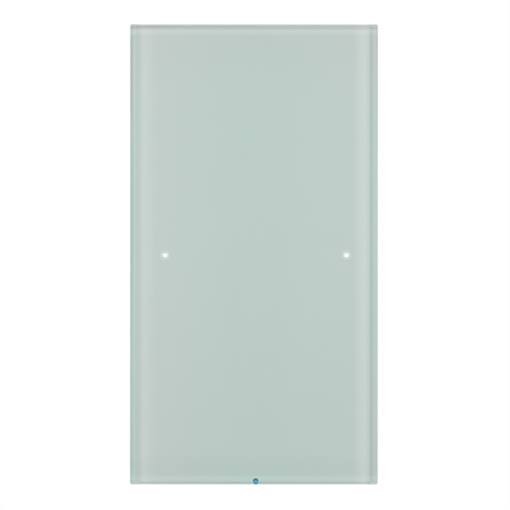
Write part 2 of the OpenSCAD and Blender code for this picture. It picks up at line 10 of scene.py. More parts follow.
import json
import logging
import math
from abc import ABC, abstractmethod
from dataclasses import dataclass, field
from enum import Enum
from functools import reduce
from typing import Any, Sequence

import bmesh
import bpy
import numpy as np
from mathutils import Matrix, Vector

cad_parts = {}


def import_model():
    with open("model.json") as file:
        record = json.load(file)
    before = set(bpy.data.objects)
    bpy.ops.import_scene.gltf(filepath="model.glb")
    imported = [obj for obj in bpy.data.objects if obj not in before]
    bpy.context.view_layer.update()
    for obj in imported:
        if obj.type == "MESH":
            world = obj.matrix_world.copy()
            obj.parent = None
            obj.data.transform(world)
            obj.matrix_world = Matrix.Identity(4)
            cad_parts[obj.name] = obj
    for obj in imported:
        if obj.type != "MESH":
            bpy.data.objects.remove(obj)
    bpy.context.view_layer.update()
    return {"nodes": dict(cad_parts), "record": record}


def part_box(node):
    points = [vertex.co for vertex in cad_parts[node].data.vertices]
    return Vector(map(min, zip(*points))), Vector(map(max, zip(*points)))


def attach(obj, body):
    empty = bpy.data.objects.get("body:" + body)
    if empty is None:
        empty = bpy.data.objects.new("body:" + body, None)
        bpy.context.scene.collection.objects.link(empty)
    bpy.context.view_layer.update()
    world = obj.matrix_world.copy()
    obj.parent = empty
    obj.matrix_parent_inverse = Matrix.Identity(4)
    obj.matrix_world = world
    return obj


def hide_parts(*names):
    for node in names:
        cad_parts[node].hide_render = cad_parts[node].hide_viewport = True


LOG = logging.getLogger("touch_switch")
MM = 0.001

Node = bpy.types.Node
Piece = bpy.types.Object
Socket = bpy.types.NodeSocket
Triple = tuple[float, float, float]
Colour = Triple
WHITE: Colour = (1.0, 1.0, 1.0)
BLACK: Colour = (0.0, 0.0, 0.0)


class Body(Enum):
    """The bodies that pieces ride on."""

    BASE = "base"
    PANEL = "panel"
    BUTTON = "button"


# Meshes

# Points nearer than this are one, in metres: in a new mesh, and in a copy of a solid
WELD = 1e-7
SOLID_WELD = 1e-6
# Faces of a solid that turn by less than this are one flat face, in degrees
FLAT_TURN = 0.5
# How strongly large faces keep their own shading beside a rounded edge, from 1 to 100
FACE_WEIGHT = 100


@dataclass
class Patch:
    """A grid of points that becomes quads: rows along the first axis, closed rings along the second.

    Attributes:
        points: rows by columns by 3, in metres.
        capped: whether the first and the last row are filled with a face.
    """

    points: np.ndarray
    capped: bool = True

    def faces(self, start: int) -> list[list[int]]:
        """Faces of the grid, counted from a first vertex.

        Args:
            start: number of the patch's first vertex in the mesh.
        Returns:
            One list of vertex numbers per face.
        """
        rows, columns = self.points.shape[:2]
        index = start + np.arange(rows * columns).reshape(rows, columns)
        beside = np.roll(index, -1, axis=1)
        quads = np.stack([index[:-1], beside[:-1], beside[1:], index[1:]], axis=-1).reshape(-1, 4)
        caps = [index[0, ::-1].tolist(), index[-1].tolist()] if self.capped else []
        return quads.tolist() + caps


def stand_up(points: np.ndarray) -> np.ndarray:
    """Turns points from the bench onto the wall: (x, y, z) becomes (x, -z, y)."""
    return np.stack([points[..., 0], -points[..., 2], points[..., 1]], axis=-1)


def lathe(profile: np.ndarray, columns: int = 48) -> np.ndarray:
    """A profile turned round the z axis: (r, h) at angle a becomes (r cos a, r sin a, h).

    Args:
        profile: one row (r, h) for each ring.
        columns: points round each ring.
    Returns:
        Rings by columns by 3.
    """
    angle = np.linspace(0, 2 * np.pi, columns, endpoint=False)
    radius, height = profile[:, :1], profile[:, 1:]
    return np.stack([radius * np.cos(angle), radius * np.sin(angle), height + 0 * angle], axis=-1)


def quarter_round(centre: tuple[float, float], radius: float, steps: int = 6) -> np.ndarray:
    """A round edge from its side to its top: rows centre + radius (cos a, sin a), a from 0 to 90 degrees."""
    angle = np.linspace(0, np.pi / 2, steps)
    return np.stack([centre[0] + radius * np.cos(angle), centre[1] + radius * np.sin(angle)], axis=-1)


def finish_mesh(mesh: bpy.types.Mesh, sharp: float) -> None:
    """Closes seams and poles, turns faces outwards and shades smooth between sharp edges.

    Args:
        mesh: the mesh to clean.
        sharp: angle in degrees above which an edge stays sharp.
    """
    work = bmesh.new()
    work.from_mesh(mesh)
    bmesh.ops.remove_doubles(work, verts=work.verts, dist=WELD)
    bmesh.ops.dissolve_degenerate(work, dist=WELD, edges=work.edges)
    bmesh.ops.recalc_face_normals(work, faces=work.faces)
    work.to_mesh(mesh)
    work.free()
    mesh.shade_smooth()
    mesh.set_sharp_from_angle(angle=math.radians(sharp))


def add_object(name: str, mesh: bpy.types.Mesh) -> Piece:
    """Links a new object with this mesh, at the origin.

    Args:
        name: the piece's name.
        mesh: its mesh.
    Returns:
        The object.
    """
    piece = bpy.data.objects.new(name, mesh)
    bpy.context.scene.collection.objects.link(piece)
    return piece


def piece_of(name: str, patches: Sequence[Patch], sharp: float = 40) -> Piece:
    """One object made of several grids.

    Args:
        name: the piece's name.
        patches: its grids, in the model's frame.
        sharp: angle in degrees above which an edge stays sharp.
    Returns:
        The object.
    """
    counts = [patch.points.shape[0] * patch.points.shape[1] for patch in patches]
    starts = np.cumsum([0, *counts[:-1]])
    points = np.concatenate([patch.points.reshape(-1, 3) for patch in patches])
    faces = [face for patch, start in zip(patches, starts) for face in patch.faces(int(start))]
    mesh = bpy.data.meshes.new(name)
    mesh.from_pydata(points.tolist(), [], faces)
    finish_mesh(mesh, sharp)
    return add_object(name, mesh)


@dataclass(frozen=True)
class EdgeRound:
    """How a piece has its edges broken: how wide, in how many faces, and from which turn in degrees."""

    width: float
    segments: int = 2
    angle: float = 30


def softened_copy(name: str, source: Piece, edge: EdgeRound) -> Piece:
    """A copy of a solid with its flat faces merged and its sharp edges rounded.

    Args:
        name: the copy's name.
        source: the node's object.
        edge: how its edges are rounded.
    Returns:
        The copy.
    """
    mesh = bpy.data.meshes.new(name)
    work = bmesh.new()
    work.from_mesh(source.data)
    bmesh.ops.remove_doubles(work, verts=work.verts, dist=SOLID_WELD)
    flat = math.radians(FLAT_TURN)
    bmesh.ops.dissolve_limit(work, angle_limit=flat, verts=work.verts, edges=work.edges)
    work.to_mesh(mesh)
    work.free()
    mesh.shade_smooth()
    piece = add_object(name, mesh)
    bevel = piece.modifiers.new("broken_edges", "BEVEL")
    bevel.width = edge.width
    bevel.segments = edge.segments
    bevel.limit_method = "ANGLE"
    bevel.angle_limit = math.radians(edge.angle)
    weighted = piece.modifiers.new("flat_faces", "WEIGHTED_NORMAL")
    weighted.weight = FACE_WEIGHT
    return piece


# Shader wiring

# Octaves of the noise in a moulded grain, in a wide cloud and in the streaks of metal
GRAIN_DETAIL = 3.0
CLOUD_DETAIL = 2.0
STREAK_DETAIL = 4.0
# How many times wider than its grain the cloud in a moulded surface is
CLOUD_SPAN = 40.0
# Share of the crystals in the tone of metal, beside its streaks
CRYSTAL_SHARE = 0.45


@dataclass
class Net:
    """A node tree that is being wired, of a material, a group or the world."""

    tree: bpy.types.NodeTree

    @staticmethod
    def socket(sockets: Any, key: str) -> Socket:
        """One of a node's inputs or outputs, found by its identifier or else by its name."""
        named = [s for s in sockets if s.identifier == key] or [s for s in sockets if s.name == key]
        return named[0]

    def feed(self, node: Node, inputs: dict[str, Any]) -> None:
        """Links sockets to a node's inputs, or sets the inputs to plain values.

        Args:
            node: the node that is fed.
            inputs: an output socket, a number or three numbers for each input.
        """
        for key, value in inputs.items():
            target = self.socket(node.inputs, key)
            if isinstance(value, Socket):
                self.tree.links.new(value, target)
            elif target.type == "RGBA":
                target.default_value = (*value, 1.0)
            else:
                target.default_value = value

    def add(self, kind: str, inputs: dict[str, Any] | None = None, **settings: Any) -> Node:
        """Adds a node.

        Args:
            kind: the node's type.
            inputs: what goes into its sockets.
            **settings: the node's own properties.
        Returns:
            The node.
        """
        node = self.tree.nodes.new(kind)
        for key, value in settings.items():
            setattr(node, key, value)
        self.feed(node, inputs or {})
        return node

    def math(self, operation: str, *values: Any) -> Socket:
        """The result of a Math node on one to three values."""
        keys = ("Value", "Value_001", "Value_002")
        return self.add("ShaderNodeMath", dict(zip(keys, values)), operation=operation).outputs[0]

    def mix(self, factor: Any, start: Any, end: Any) -> Socket:
        """A colour between two colours."""
        inputs = {"Factor_Float": factor, "A_Color": start, "B_Color": end}
        return self.socket(self.add("ShaderNodeMix", inputs, data_type="RGBA").outputs, "Result_Color")

    def darkened(self, colour: Any, tone: Any, share: Any) -> Socket:
        """A colour that a tone from 0 to 1 darkens by up to a share."""
        return self.mix(self.math("MULTIPLY", tone, share), colour, BLACK)

    def place(self) -> Socket:
        """The Object coordinates of the point that is shaded, in metres."""
        return self.add("ShaderNodeTexCoord").outputs["Object"]

    def axes(self) -> Any:
        """The Object coordinates one by one, as outputs X, Y and Z."""
        return self.add("ShaderNodeSeparateXYZ", {"Vector": self.place()}).outputs

    def stretched(self, weights: Any) -> Socket:
        """Object coordinates with each axis multiplied by its own weight."""
        inputs = {"Vector": self.place(), "Vector_001": weights}
        return self.add("ShaderNodeVectorMath", inputs, operation="MULTIPLY").outputs[0]

    def noise(self, vector: Socket, scale: Any, detail: float) -> Socket:
        """Noise from 0 to 1 at a vector."""
        inputs = {"Vector": vector, "Scale": scale, "Detail": detail}
        return self.add("ShaderNodeTexNoise", inputs).outputs["Fac"]

    def cloud(self, scale: Any) -> Socket:
        """Soft noise from 0 to 1 over the object."""
        return self.noise(self.place(), scale, CLOUD_DETAIL)

    def ramp(self, value: Any, low: Any, high: Any, start: Any = 0.0, end: Any = 1.0) -> Socket:
        """A smooth step from start to end while the value goes from low to high."""
        inputs = {"Value": value, "From Min": low, "From Max": high, "To Min": start, "To Max": end}
        return self.add("ShaderNodeMapRange", inputs, interpolation_type="SMOOTHSTEP").outputs[0]

    def seen_rays(self) -> Socket:
        """1 for rays that show a surface, also in a mirror or through glass, and 0 for light on matt ones.

        Returns:
            The larger of three outputs of Light Path.
        """
        path = self.add("ShaderNodeLightPath").outputs
        mirrored = self.math("MAXIMUM", path["Is Camera Ray"], path["Is Glossy Ray"])
        return self.math("MAXIMUM", mirrored, path["Is Transmission Ray"])


class Effect(Enum):
    """The surface effects that several finishes share, each built once as a node group."""

    GRAIN = "moulded_grain"
    STREAKS = "rolled_streaks"

    def group(self) -> bpy.types.NodeTree:
        """The effect's node group, made on its first use."""
        return bpy.data.node_groups.get(self.value) or effect_group(self)


def grain_pattern(net: Net, given: Any) -> tuple[Socket, Socket, Socket]:
    """Moulded grain: a wide cloud in the colour, and fine noise in the gloss and in the relief."""
    grain = net.noise(net.place(), given["Scale"], GRAIN_DETAIL)
    return net.cloud(net.math("DIVIDE", given["Scale"], CLOUD_SPAN)), grain, grain


def streak_pattern(net: Net, given: Any) -> tuple[Socket, Socket, Socket]:
    """Rolled or drawn metal: noise drawn out along one axis, over crystals of many tones.

    Args:
        net: the group's net.
        given: the sockets that the group is given.
    Returns:
        What darkens the colour, what spreads the gloss, and the height of the relief.
    """
    streak = net.noise(net.stretched(given["Weights"]), 1.0, STREAK_DETAIL)
    cells = net.add("ShaderNodeTexVoronoi", {"Vector": net.place(), "Scale": given["Crystal"]})
    tone = net.add("ShaderNodeSeparateColor", {"Color": cells.outputs["Color"]}).outputs["Red"]
    blend = net.math("MULTIPLY_ADD", tone, CRYSTAL_SHARE, net.math("MULTIPLY", streak, 1 - CRYSTAL_SHARE))
    return blend, blend, streak


def effect_group(effect: Effect) -> bpy.types.NodeTree:
    """Builds an effect, whose pattern darkens a colour, spreads a roughness and gives a height.

    Args:
        effect: the effect.
    Returns:
        Its node group.
    """
    number, colour, vector = "NodeSocketFloat", "NodeSocketColor", "NodeSocketVector"
    pattern, own = {
        Effect.GRAIN: (grain_pattern, {"Scale": number}),
        Effect.STREAKS: (streak_pattern, {"Weights": vector, "Crystal": number}),
    }[effect]
    sockets = {
        "INPUT": {"Colour": colour, "Shade": number, "Roughness": number, "Spread": number} | own,
        "OUTPUT": {"Colour": colour, "Roughness": number, "Height": number},
    }
    net = Net(bpy.data.node_groups.new(effect.value, "ShaderNodeTree"))
    for way, kinds in sockets.items():
        for name, kind in kinds.items():
            net.tree.interface.new_socket(name=name, in_out=way, socket_type=kind)
    given = net.add("NodeGroupInput").outputs
    shade, gloss, height = pattern(net, given)
    results = {
        "Colour": net.darkened(given["Colour"], shade, given["Shade"]),
        "Roughness": net.math("MULTIPLY_ADD", gloss, given["Spread"], given["Roughness"]),
        "Height": height,
    }
    net.add("NodeGroupOutput", results)
    return net.tree


# Light points


@dataclass(frozen=True)
class Spot:
    """A round place on the plate, or a pair of them side by side.

    Attributes:
        x: where its middle is, or the point half-way between a pair.
        z: height of its middle.
        radius: its radius.
        apart: distance of each of a pair from the point between them, or 0.
    """

    x: float
    z: float
    radius: float
    apart: float = 0.0

    def reach(self, net: Net) -> Socket:
        """Distance of the shaded point from the nearest middle: sqrt((|x - x0| - a)^2 + (z - z0)^2).

        Args:
            net: the material's net.
        Returns:
            The distance, in metres.
        """
        axes = net.axes()
        beside = net.math("ABSOLUTE", net.math("SUBTRACT", axes["X"], self.x))
        across = net.math("POWER", net.math("SUBTRACT", beside, self.apart), 2.0)
        up = net.math("POWER", net.math("SUBTRACT", axes["Z"], self.z), 2.0)
        return net.math("SQRT", net.math("ADD", across, up))


@dataclass(frozen=True)
class Glow:
    """The light that a spot throws onto a surface round it, painted into the surface's colour.

    Attributes:
        spot: the spot.
        tone: the tone that the surface leans to.
        share: how much of that tone is mixed in at the spot's rim.
        spread: distance from the rim at which it has faded.
    """

    spot: Spot
    tone: Colour
    share: float
    spread: float

    def over(self, net: Net, colour: Any) -> Socket:
        """A surface's colour with the glow mixed in.

        Args:
            net: the material's net.
            colour: the colour without it, as a socket or as three numbers.
        Returns:
            The colour with it.
        """
        rim = self.spot.radius
        amount = net.ramp(self.spot.reach(net), rim, rim + self.spread, self.share, 0.0)
        return net.mix(amount, colour, self.tone)


def lit(net: Net, colour: Any, glows: Sequence[Glow]) -> Any:
    """A surface's colour with glows mixed in one after the other, or as it was where there are none."""
    return reduce(lambda tone, glow: glow.over(net, tone), glows, colour)


def white_spots() -> Spot:
    """The two white light points, from the lenses behind the glass.

    Returns:
        The pair of spots.
    """
    low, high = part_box("indicator_lenses")
    middle, radius = (low + high) / 2, (high.z - low.z) / 2
    return Spot(middle.x, middle.z, radius, high.x - radius - middle.x)


def blue_spot() -> Spot:
    """The blue light point, from the round end of the light pipe.

    Returns:
        The spot.
    """
    low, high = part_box("operating_light_pipe")
    radius = (high.x - low.x) / 2
    return Spot((low.x + high.x) / 2, low.z + radius, radius)


# Finishes


@dataclass(frozen=True)
class Finish(ABC):
    """The finish of one material slot of the record."""

    slot: str

    def material(self) -> bpy.types.Material:
        """Makes the material.

        Returns:
            The material, with its nodes wired.
        """
        made = bpy.data.materials.new(f"{self.slot}_finish")
        made.use_nodes = True
        self.wire(Net(made.node_tree), made.node_tree.nodes["Principled BSDF"])
        return made

    @abstractmethod
    def wire(self, net: Net, shader: Node) -> None:
        """Wires the material.

        Args:
            net: the material's net.
            shader: its Principled shader.
        """


@dataclass(frozen=True)
class Patterned(Finish):
    """A finish whose colour, gloss and relief follow an effect.

    Attributes:
        colour: its palest colour.
        roughness: its middle roughness.
        spread: how far the pattern moves the roughness.
        shade: how much the pattern darkens the colour.
        relief: height of the pattern.
        glows: light that colours it near some spots.
    """

    colour: Colour = WHITE
    roughness: float = 0.45
    spread: float = 0.12
    shade: float = 0.08
    relief: float = 0.02 * MM
    glows: tuple[Glow, ...] = ()

    @abstractmethod
    def pattern(self) -> tuple[Effect, dict[str, Any], dict[str, float]]:
        """The effect, what goes into its own inputs, and the shader's plain values."""

    def wire(self, net: Net, shader: Node) -> None:
        """Feeds the shader from the effect's group.

        Args:
            net: the material's net.
            shader: its Principled shader.
        """
        effect, own, plain = self.pattern()
        inputs = {
            "Colour": self.colour,
            "Shade": self.shade,
            "Roughness": self.roughness - self.spread / 2,
            "Spread": self.spread,
        }
        group = net.add("ShaderNodeGroup", inputs | own, node_tree=effect.group()).outputs
        bump = net.add("ShaderNodeBump", {"Height": group["Height"], "Distance": self.relief})
        varied = {
            "Base Color": lit(net, group["Colour"], self.glows),
            "Roughness": group["Roughness"],
            "Normal": bump.outputs["Normal"],
        }
        net.feed(shader, varied | plain)


@dataclass(frozen=True)
class Moulded(Patterned):
    """Moulded plastic, ceramic or ground glass with a fine grain, under a coat of lacquer or bare."""

    grain: float = 2600
    coat: float = 0.0

    def pattern(self) -> tuple[Effect, dict[str, Any], dict[str, float]]:
        """The grain, and the weight of the coat."""
        return Effect.GRAIN, {"Scale": self.grain}, {"Coat Weight": self.coat}


@dataclass(frozen=True)
class Metal(Patterned):
    """Rolled, drawn or plated metal, with streaks and crystals of a fineness per metre."""

    roughness: float = 0.32
    spread: float = 0.14
    shade: float = 0.3
    relief: float = 0.006 * MM
    along: Triple = (6000, 6000, 160)
    crystal: float = 420

    def pattern(self) -> tuple[Effect, dict[str, Any], dict[str, float]]:
        """The streaks, on bare metal."""
        return Effect.STREAKS, {"Weights": self.along, "Crystal": self.crystal}, {"Metallic": 1.0}


@dataclass(frozen=True)
class SolderMask(Finish):
    """Glossy solder mask with paler lines where tracks run under it.

    Attributes:
        pitch: distance from one line to the next.
        run: length of the fields between the lines, in pitches.
        line: width of the lines, in pitches.
        dim: brightness of the darkest fields, beside that of the mask.
    """

    colour: Colour = WHITE
    track: Colour = WHITE
    pitch: float = 2.2 * MM
    run: float = 4.0
    line: float = 0.1
    dim: float = 0.85
    relief: float = 0.03 * MM
    roughness: float = 0.28

    def wire(self, net: Net, shader: Node) -> None:
        """Paints tracks as the edges of a brick pattern on x and z.

        Args:
            net: the material's net.
            shader: its Principled shader.
        """
        axes = net.axes()
        flat = net.add("ShaderNodeCombineXYZ", {"X": axes["X"], "Y": axes["Z"]})
        inputs = {
            "Vector": flat.outputs["Vector"],
            "Color1": self.colour,
            "Color2": tuple(self.dim * part for part in self.colour),
            "Mortar": self.track,
            "Scale": 1.0,
            "Mortar Size": self.line * self.pitch,
            "Brick Width": self.run * self.pitch,
            "Row Height": self.pitch,
        }
        bricks = net.add("ShaderNodeTexBrick", inputs).outputs
        bump = net.add("ShaderNodeBump", {"Height": bricks["Fac"], "Distance": self.relief})
        normal = bump.outputs["Normal"]
        net.feed(shader, {"Base Color": bricks["Color"], "Roughness": self.roughness, "Normal": normal})


@dataclass(frozen=True)
class FloatGlass(Finish):
    """Float glass: polished, seamed to a satin edge, or bonded to what lies behind it.

    Attributes:
        tint: colour of what shines through.
        roughness: 0 where it is polished.
        ior: refractive index, 1 where a bond lets nothing reflect.
        glows: light that colours it near some spots.
    """

    tint: Colour = WHITE
    roughness: float = 0.0
    ior: float = 1.52
    glows: tuple[Glow, ...] = ()

    def wire(self, net: Net, shader: Node) -> None:
        """Sets a clear shader, coloured by the glows that reach it."""
        plain = {"Roughness": self.roughness, "IOR": self.ior, "Transmission Weight": 1.0}
        net.feed(shader, {"Base Color": lit(net, self.tint, self.glows)} | plain)


class Edge(Enum):
    """An edge of the plate, as the axis across it, the axis along it and the side that it is on."""

    LEFT = ("X", "Z", -1)
    RIGHT = ("X", "Z", 1)
    TOP = ("Z", "X", 1)
    BOTTOM = ("Z", "X", -1)


class Tone(Enum):
    """The colours that the bands of the coat lean to: white for painted light, black for painted shade, and
    a rose and a green tint.
    """

    PAINTED_LIGHT = WHITE
    PAINTED_SHADE = BLACK
    ROSE = (0.98, 0.72, 0.84)
    GREEN = (0.25, 0.85, 0.65)


@dataclass(frozen=True)
class EdgeLightAndShade:
    """A band along one edge of the coat that leans to another tone, with lengths in millimetres: painted
    light where it leans to white, painted shade where it leans to black.

    Attributes:
        tone: the tone that it leans to.
        share: how much of that tone is mixed in.
        inner: distance of its inner side from the edge of the glass, and the width over which it fades.
        outer: the same for its outer side, or None where it begins at the edge.
        tapers: pairs of places along the edge, from the plate's middle, between which the share grows
            from none to all of it.
    """

    tone: Tone
    share: float
    inner: tuple[float, float]
    outer: tuple[float, float] | None = None
    tapers: tuple[tuple[float, float], ...] = ()

    def over(self, net: Net, colour: Socket, inset: Socket, along: Socket) -> Socket:
        """The coat's colour with the band mixed in.

        Args:
            net: the material's net.
            colour: the colour without it.
            inset: distance of the shaded point from the edge, in millimetres.
            along: its place along the edge, in millimetres.
        Returns:
            The colour with it.
        """
        far, fade = self.inner
        amount = net.ramp(inset, far - fade / 2, far + fade / 2, self.share, 0.0)
        steps = [net.ramp(along, none, full) for none, full in self.tapers]
        if self.outer:
            near, fade = self.outer
            steps.append(net.ramp(inset, near - fade / 2, near + fade / 2))
        for step in steps:
            amount = net.math("MULTIPLY", amount, step)
        return net.mix(amount, colour, self.tone.value)


@dataclass(frozen=True)
class BackCoat(Finish):
    """The opaque coat behind the glass, with painted light and shade: the bands that the edges of the glass
    throw onto it and the glow that the lights throw onto it.

    Attributes:
        half_size: half the size of the plate along each axis.
        bands: the bands of painted light and shade along each edge, in the order in which they are mixed in.
        glows: the painted glow round each light.
        cloud: how much a soft cloud of the next field's fineness darkens the face.
    """

    colour: Colour = WHITE
    half_size: dict[str, float] = field(default_factory=dict)
    bands: dict[Edge, Sequence[EdgeLightAndShade]] = field(default_factory=dict)
    glows: tuple[Glow, ...] = ()
    cloud: float = 0.012
    cloud_scale: float = 60.0
    roughness: float = 0.6

    def wire(self, net: Net, shader: Node) -> None:
        """Mixes the painted glows and then the painted bands of light and shade over the face colour, one
        after the other.

        Args:
            net: the material's net.
            shader: its Principled shader.
        """
        axes = net.axes()
        colour = net.darkened(self.colour, net.cloud(self.cloud_scale), self.cloud)
        colour = lit(net, colour, self.glows)
        # Painted light and shade along each edge of the glass
        for edge, bands in self.bands.items():
            across, along, side = edge.value
            inset = net.math("MULTIPLY_ADD", axes[across], -side / MM, self.half_size[across] / MM)
            place = net.math("DIVIDE", axes[along], MM)
            for band in bands:
                colour = band.over(net, colour, inset, place)
        net.feed(shader, {"Base Color": colour, "Roughness": self.roughness, "Specular IOR Level": 0.0})


@dataclass(frozen=True)
class FloorPaint(Finish):
    """Pale floor paint that fades into a white surround.

    Attributes:
        fade: distances from the middle at which the fade begins and ends.
        cloud: how much a soft cloud of the next field's fineness darkens the paint.
    """

    colour: Colour = WHITE
    fade: tuple[float, float] = (1.0, 4.0)
    cloud: float = 0.02
    cloud_scale: float = 3.0
    roughness: float = 0.8

    def wire(self, net: Net, shader: Node) -> None:
        """Mixes the paint with plain white by the distance from the middle, for rays that show it.

        Args:
            net: the material's net.
            shader: its Principled shader.
        """
        paint = net.darkened(self.colour, net.cloud(self.cloud_scale), self.cloud)
        net.feed(shader, {"Base Color": paint, "Roughness": self.roughness})
        away = net.add("ShaderNodeVectorMath", {"Vector": net.place()}, operation="LENGTH")
        amount = net.math("MULTIPLY", net.ramp(away.outputs["Value"], *self.fade), net.seen_rays())
        white = net.add("ShaderNodeEmission", {"Color": WHITE, "Strength": 1.0})
        shaders = {"Shader": shader.outputs["BSDF"], "Shader_001": white.outputs["Emission"]}
        blend = net.add("ShaderNodeMixShader", {"Fac": amount} | shaders)
        net.feed(net.tree.nodes["Material Output"], {"Surface": blend.outputs["Shader"]})


@dataclass(frozen=True)
class LightPoint(Finish):
    """A light guide that glows, from its middle to its rim.

    Attributes:
        middle: colour of the light in the middle.
        rim: colour of the light at the rim.
        spot: where it shows.
        core: share of the radius that has the colour of the middle.
    """

    middle: Colour = WHITE
    rim: Colour = WHITE
    spot: Spot = Spot(0.0, 0.0, MM)
    core: float = 0.35
    strength: float = 1.0
    roughness: float = 0.25

    def wire(self, net: Net, shader: Node) -> None:
        """Grades the light by its distance from the middle.

        Args:
            net: the material's net.
            shader: its Principled shader.
        """
        rim = self.spot.radius
        light = net.mix(net.ramp(self.spot.reach(net), self.core * rim, rim), self.middle, self.rim)
        guide = {"Base Color": BLACK, "Roughness": self.roughness, "Specular IOR Level": 0.0}
        net.feed(shader, guide | {"Emission Color": light, "Emission Strength": self.strength})


# Sub-assemblies


@dataclass
class Bench:
    """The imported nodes, the slot of each and the material of each slot, shared by the sub-assemblies."""

    nodes: dict[str, Piece]
    slots: dict[str, str]
    materials: dict[str, bpy.types.Material]

    def dress(self, *names: str) -> list[Piece]:
        """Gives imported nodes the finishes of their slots.

        Args:
            *names: the nodes' names.
        Returns:
            The nodes' objects.
        """
        for name in names:
            mesh = self.nodes[name].data
            mesh.materials.clear()
            mesh.materials.append(self.materials[self.slots[name]])
        return [self.nodes[name] for name in names]

    def fit(self, piece: Piece, node: str, body: Body) -> Piece:
        """Puts a new piece in the place of a node, with the finish of its slot.

        Args:
            piece: the new piece.
            node: the node that it stands for.
            body: the body that it rides on.
        Returns:
            The piece.
        """
        slot = self.slots[node]
        piece.data.materials.append(self.materials[slot])
        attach(piece, body.value)
        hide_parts(node)
        return piece

    def soften(self, name: str, node: str, body: Body, edge: EdgeRound) -> Piece:
        """A softened copy of a node under a name of its own, in the node's place on a body."""
        return self.fit(softened_copy(name, self.nodes[node], edge), node, body)


@dataclass
class SubAssembly(ABC):
    """Pieces that are put together first."""

    bench: Bench

    @abstractmethod
    def build(self) -> list[Piece]:
        """Makes and dresses the pieces.

        Returns:
            The pieces.
        """


@dataclass
class GlassPlate(SubAssembly):
    """The ground glass plate with its coat, its tape and its three light points.

    Attributes:
        tilts: tilts of a face away from the front, in degrees, at which one finish ends and the next begins.
        bleed: half the width of the blue light on the lower arrises, which fades over twice that.
        blue_tones: its colours on the arris in front and on the one at the rear.
        facet_w: width of the facets on the long sides, which let light onto the rear arris in the corners.
        corner_core: share of half a facet that is fully lit there.
        corner_fade: share of half a facet over which that light fades.
        corner_tones: its colours in the lower and in the upper corners.
    """

    edge: EdgeRound = EdgeRound(0.1 * MM, angle=8)
    tilts: tuple[float, ...] = (30, 60, 120, 175)
    seam_tint: Colour = (0.88, 0.89, 0.89)
    seam_roughness: float = 0.25
    side_tone: Colour = (0.50, 0.57, 0.54)
    # The rear arris's ground tone, darker than the sides by painted shade
    shaded_arris_tone: Colour = (0.39, 0.445, 0.42)
    bleed: float = 0.35 * MM
    blue_tones: tuple[Colour, Colour] = ((0.0, 0.13, 0.22), (0.0, 0.18, 0.3))
    facet_w: float = 3.3 * MM
    corner_core: float = 0.8
    corner_fade: float = 0.4
    corner_tones: tuple[Colour, Colour] = ((0.55, 0.62, 0.585), (0.62, 0.7, 0.66))

    def corner_light(self) -> list[Glow]:
        """The light that the facets let onto the rear arris, painted into its colour.

        Returns:
            The glow in the lower corners and the one in the upper.
        """
        high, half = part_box("glass_panel")[1], self.facet_w / 2
        spots = [Spot(0.0, side * high.z, self.corner_core * half, high.x - half) for side in (-1, 1)]
        fade = self.corner_fade * half
        return [Glow(spot, tone, 1.0, fade) for spot, tone in zip(spots, self.corner_tones)]

    def edge_finishes(self) -> list[Finish]:
        """The finishes of all but the polished faces, by their tilt, with the light that reaches them
        painted into their colours.

        Returns:
            Those of the satin arris in front, the ground sides, the ground arris at the rear, and the
            rear face, which is bonded to the coat.
        """
        lower = Spot(blue_spot().x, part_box("glass_panel")[0].z, self.bleed)
        front, rear = (Glow(lower, tone, 1.0, 2 * self.bleed) for tone in self.blue_tones)
        ground = {"roughness": 0.55, "grain": 9000, "shade": 0.1}
        return [
            FloatGlass("seamed_edge", self.seam_tint, self.seam_roughness, glows=(front,)),
            Moulded("ground_side", self.side_tone, **ground),
            Moulded("ground_edge", self.shaded_arris_tone, glows=(rear, *self.corner_light()), **ground),
            FloatGlass("bonded_face", ior=1.0),
        ]

    def grind(self, glass: Piece) -> None:
        """Gives each face of the glass a finish by its tilt away from the front.

        Args:
            glass: the glass plate, whose first material is the polished one.
        """
        for finish in self.edge_finishes():
            glass.data.materials.append(finish.material())
        normals = np.zeros(3 * len(glass.data.polygons), np.float32)
        glass.data.polygons.foreach_get("normal", normals)
        tilt = np.degrees(np.arccos(np.clip(-normals.reshape(-1, 3)[:, 1], -1, 1)))
        glass.data.polygons.foreach_set("material_index", np.digitize(tilt, self.tilts).astype(np.int32))

    def build(self) -> list[Piece]:
        """Rounds the glass, lets light through it and dresses what lies behind it.

        Returns:
            The glass and the nodes behind it.
        """
        glass = self.bench.soften("glass_plate", "glass_panel", Body.PANEL, self.edge)
        self.grind(glass)
        glass.visible_shadow = False
        glass.visible_diffuse = False
        behind = ("colour_film", "bonding_tape", "indicator_lenses", "operating_light_pipe")
        return [glass, *self.bench.dress(*behind)]


@dataclass
class PanelCarrier(SubAssembly):
    """The moulded carrier behind the glass."""

    edge: EdgeRound = EdgeRound(0.2 * MM)

    def build(self) -> list[Piece]:
        """Rounds the carrier's edges."""
        return [self.bench.soften("carrier_shell", "panel_carrier", Body.PANEL, self.edge)]


